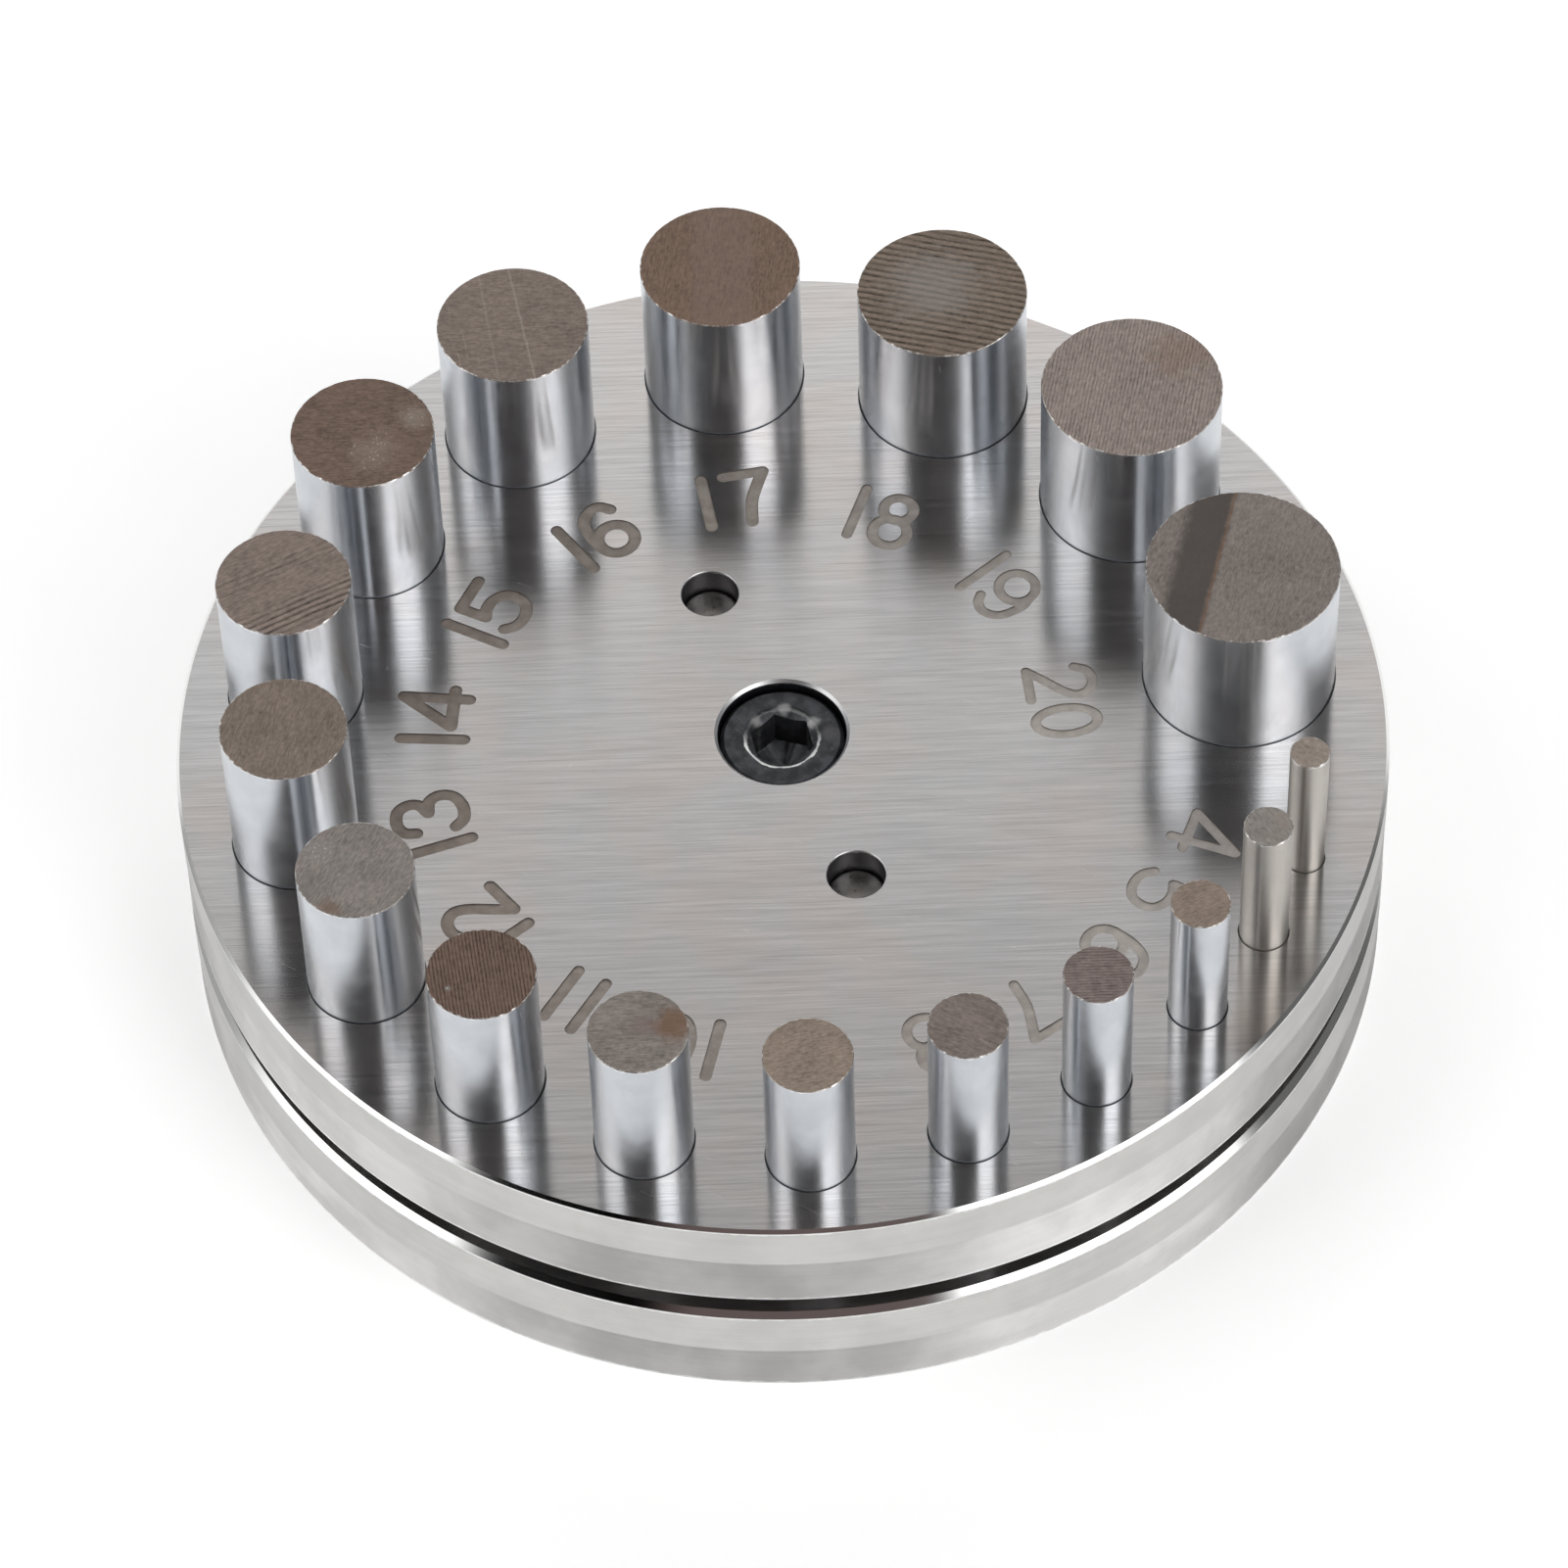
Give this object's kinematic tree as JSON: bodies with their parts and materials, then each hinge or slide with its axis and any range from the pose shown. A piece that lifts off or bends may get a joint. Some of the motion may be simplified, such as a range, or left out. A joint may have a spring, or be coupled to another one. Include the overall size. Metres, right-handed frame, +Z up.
{
  "type": "jewelers disc cutter",
  "caption": "Round two-plate disc cutter: graded punches stand in a ring of bores, and a central socket screw clamps the guide plate down on the sheet in the slot.",
  "frame": {"origin": "on the bench, under the middle of the die plate", "axes": "+Z up along the clamp screw and the punches, +X towards the side between the smallest and the largest punch, -Y towards the side with the middle-small punches, which the picture shows in front"},
  "size_m": [0.126, 0.126, 0.0454],
  "materials": {
    "ground_steel": "ground with a fine straight grain",
    "punch_steel": "polished sides, sawn and ground ends",
    "pin_steel": "ground",
    "spring_wire": "oiled drawn wire",
    "black_oxide_steel": "black oxide, worn round the socket"
  },
  "bodies": {
    "base": {"die_plate": "ground_steel", "dowel_pin_rear": "pin_steel", "dowel_pin_front": "pin_steel", "lift_spring_rear": "spring_wire", "lift_spring_front": "spring_wire"},
    "guide": {"guide_plate": "ground_steel"},
    "screw": {"clamp_screw": "black_oxide_steel"},
    "punch_04": {"punch_04": "punch_steel"},
    "punch_05": {"punch_05": "punch_steel"},
    "punch_06": {"punch_06": "punch_steel"},
    "punch_07": {"punch_07": "punch_steel"},
    "punch_08": {"punch_08": "punch_steel"},
    "punch_09": {"punch_09": "punch_steel"},
    "punch_10": {"punch_10": "punch_steel"},
    "punch_11": {"punch_11": "punch_steel"},
    "punch_12": {"punch_12": "punch_steel"},
    "punch_13": {"punch_13": "punch_steel"},
    "punch_14": {"punch_14": "punch_steel"},
    "punch_15": {"punch_15": "punch_steel"},
    "punch_16": {"punch_16": "punch_steel"},
    "punch_17": {"punch_17": "punch_steel"},
    "punch_18": {"punch_18": "punch_steel"},
    "punch_19": {"punch_19": "punch_steel"},
    "punch_20": {"punch_20": "punch_steel"}
  },
  "joints": [
    {"name": "plate_lift", "type": "slide", "parent": "base", "child": "guide", "axis": [0, 0, 1], "range_m": [-0.0026, 0.002], "deforming": ["lift_spring_rear", "lift_spring_front"]},
    {"name": "screw_turn", "type": "hinge", "parent": "guide", "child": "screw", "pos_m": [0, 0, 0.0182], "axis": [0, 0, 1], "range_deg": [-750, 577]},
    {"name": "punch_04_slide", "type": "slide", "parent": "base", "child": "punch_04", "axis": [0, 0, 1], "range_m": [0, 0.03]},
    {"name": "punch_05_slide", "type": "slide", "parent": "base", "child": "punch_05", "axis": [0, 0, 1], "range_m": [0, 0.03]},
    {"name": "punch_06_slide", "type": "slide", "parent": "base", "child": "punch_06", "axis": [0, 0, 1], "range_m": [0, 0.03]},
    {"name": "punch_07_slide", "type": "slide", "parent": "base", "child": "punch_07", "axis": [0, 0, 1], "range_m": [0, 0.03]},
    {"name": "punch_08_slide", "type": "slide", "parent": "base", "child": "punch_08", "axis": [0, 0, 1], "range_m": [0, 0.03]},
    {"name": "punch_09_slide", "type": "slide", "parent": "base", "child": "punch_09", "axis": [0, 0, 1], "range_m": [0, 0.03]},
    {"name": "punch_10_slide", "type": "slide", "parent": "base", "child": "punch_10", "axis": [0, 0, 1], "range_m": [0, 0.03]},
    {"name": "punch_11_slide", "type": "slide", "parent": "base", "child": "punch_11", "axis": [0, 0, 1], "range_m": [0, 0.03]},
    {"name": "punch_12_slide", "type": "slide", "parent": "base", "child": "punch_12", "axis": [0, 0, 1], "range_m": [0, 0.03]},
    {"name": "punch_13_slide", "type": "slide", "parent": "base", "child": "punch_13", "axis": [0, 0, 1], "range_m": [0, 0.03]},
    {"name": "punch_14_slide", "type": "slide", "parent": "base", "child": "punch_14", "axis": [0, 0, 1], "range_m": [0, 0.03]},
    {"name": "punch_15_slide", "type": "slide", "parent": "base", "child": "punch_15", "axis": [0, 0, 1], "range_m": [0, 0.03]},
    {"name": "punch_16_slide", "type": "slide", "parent": "base", "child": "punch_16", "axis": [0, 0, 1], "range_m": [0, 0.03]},
    {"name": "punch_17_slide", "type": "slide", "parent": "base", "child": "punch_17", "axis": [0, 0, 1], "range_m": [0, 0.03]},
    {"name": "punch_18_slide", "type": "slide", "parent": "base", "child": "punch_18", "axis": [0, 0, 1], "range_m": [0, 0.03]},
    {"name": "punch_19_slide", "type": "slide", "parent": "base", "child": "punch_19", "axis": [0, 0, 1], "range_m": [0, 0.03]},
    {"name": "punch_20_slide", "type": "slide", "parent": "base", "child": "punch_20", "axis": [0, 0, 1], "range_m": [0, 0.03]}
  ],
  "couplings": [
    {"joint": "screw_turn", "follows": "plate_lift", "rad_per_m": 5026.5}
  ]
}
